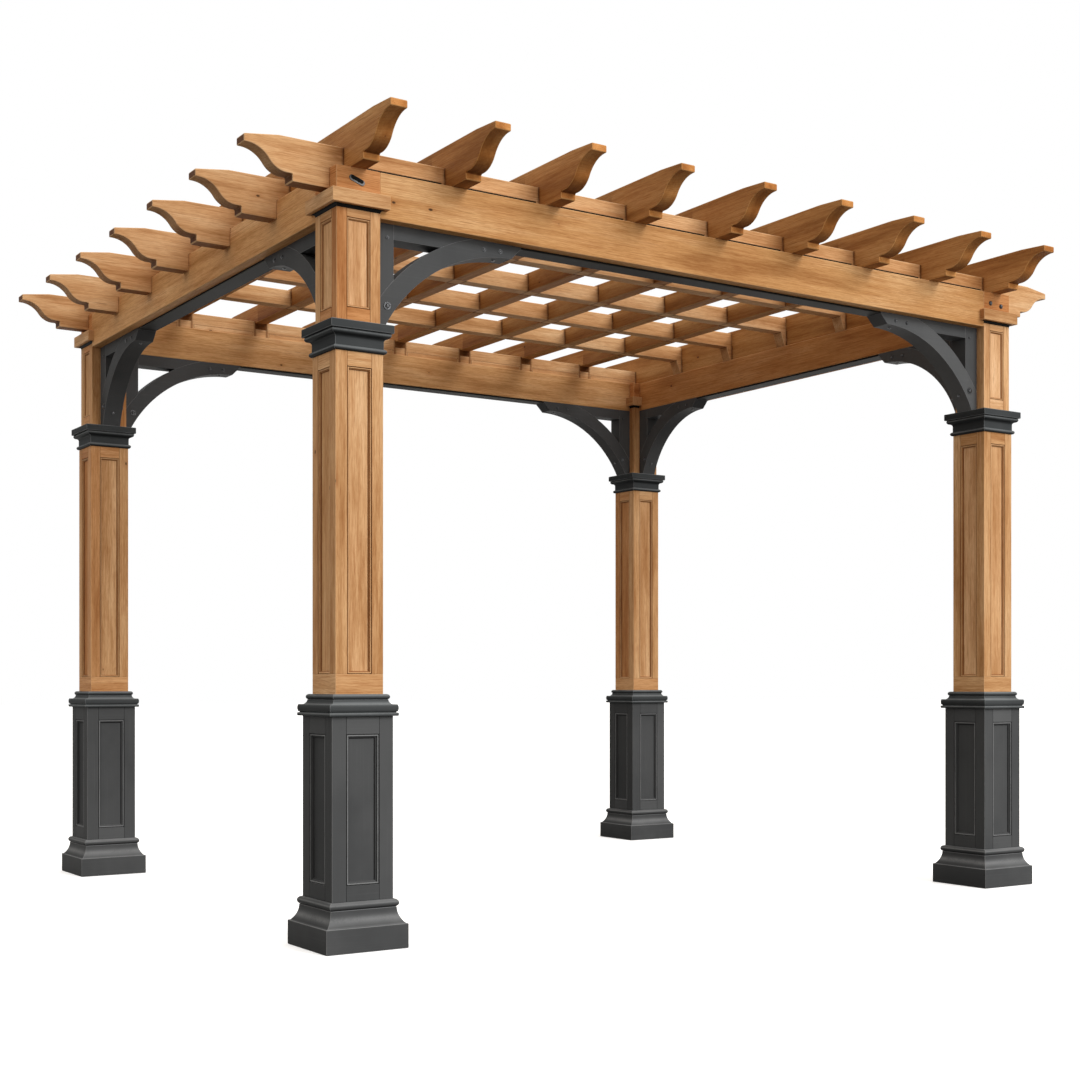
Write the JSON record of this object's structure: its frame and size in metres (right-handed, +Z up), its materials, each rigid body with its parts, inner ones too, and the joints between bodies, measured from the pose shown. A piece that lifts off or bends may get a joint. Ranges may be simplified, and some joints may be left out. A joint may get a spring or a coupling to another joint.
{
  "type": "wooden pergola",
  "caption": "Open garden pergola: panelled cedar posts on dark plinths, curved corner brackets, perimeter beams and a roof of crossed rafters with shaped tails.",
  "frame": {"origin": "ground level, midway between the posts", "axes": "+Z up, +X along the front beam to the right, +Y from front to back"},
  "size_m": [3.792, 3.202, 2.678],
  "materials": {
    "cedar_posts": "honey-stained cedar casing, satin, grain upright",
    "cedar_beams": "honey-stained cedar beam, satin, grain along the beam",
    "cedar_rafters": "honey-stained cedar rafter, satin, grain along the rafter",
    "charcoal_paint": "timber painted satin charcoal",
    "black_steel": "black coated fasteners"
  },
  "bodies": {
    "root": {"post_cores": "cedar_posts", "front_left_plinth_base": "charcoal_paint", "front_left_plinth_die": "charcoal_paint", "front_left_plinth_cap": "charcoal_paint", "front_left_shaft": "cedar_posts", "front_left_collar": "charcoal_paint", "front_left_neck": "cedar_posts", "front_left_post_cap": "cedar_posts", "front_left_brackets": "charcoal_paint", "front_right_plinth_base": "charcoal_paint", "front_right_plinth_die": "charcoal_paint", "front_right_plinth_cap": "charcoal_paint", "front_right_shaft": "cedar_posts", "front_right_collar": "charcoal_paint", "front_right_neck": "cedar_posts", "front_right_post_cap": "cedar_posts", "front_right_brackets": "charcoal_paint", "back_left_plinth_base": "charcoal_paint", "back_left_plinth_die": "charcoal_paint", "back_left_plinth_cap": "charcoal_paint", "back_left_shaft": "cedar_posts", "back_left_collar": "charcoal_paint", "back_left_neck": "cedar_posts", "back_left_post_cap": "cedar_posts", "back_left_brackets": "charcoal_paint", "back_right_plinth_base": "charcoal_paint", "back_right_plinth_die": "charcoal_paint", "back_right_plinth_cap": "charcoal_paint", "back_right_shaft": "cedar_posts", "back_right_collar": "charcoal_paint", "back_right_neck": "cedar_posts", "back_right_post_cap": "cedar_posts", "back_right_brackets": "charcoal_paint", "front_beam": "cedar_beams", "back_beam": "cedar_beams", "left_beam": "cedar_beams", "right_beam": "cedar_beams", "front_soffit_strip": "charcoal_paint", "back_soffit_strip": "charcoal_paint", "left_soffit_strip": "charcoal_paint", "right_soffit_strip": "charcoal_paint", "lower_rafters": "cedar_rafters", "upper_rafters": "cedar_rafters"}
  },
  "joints": []
}
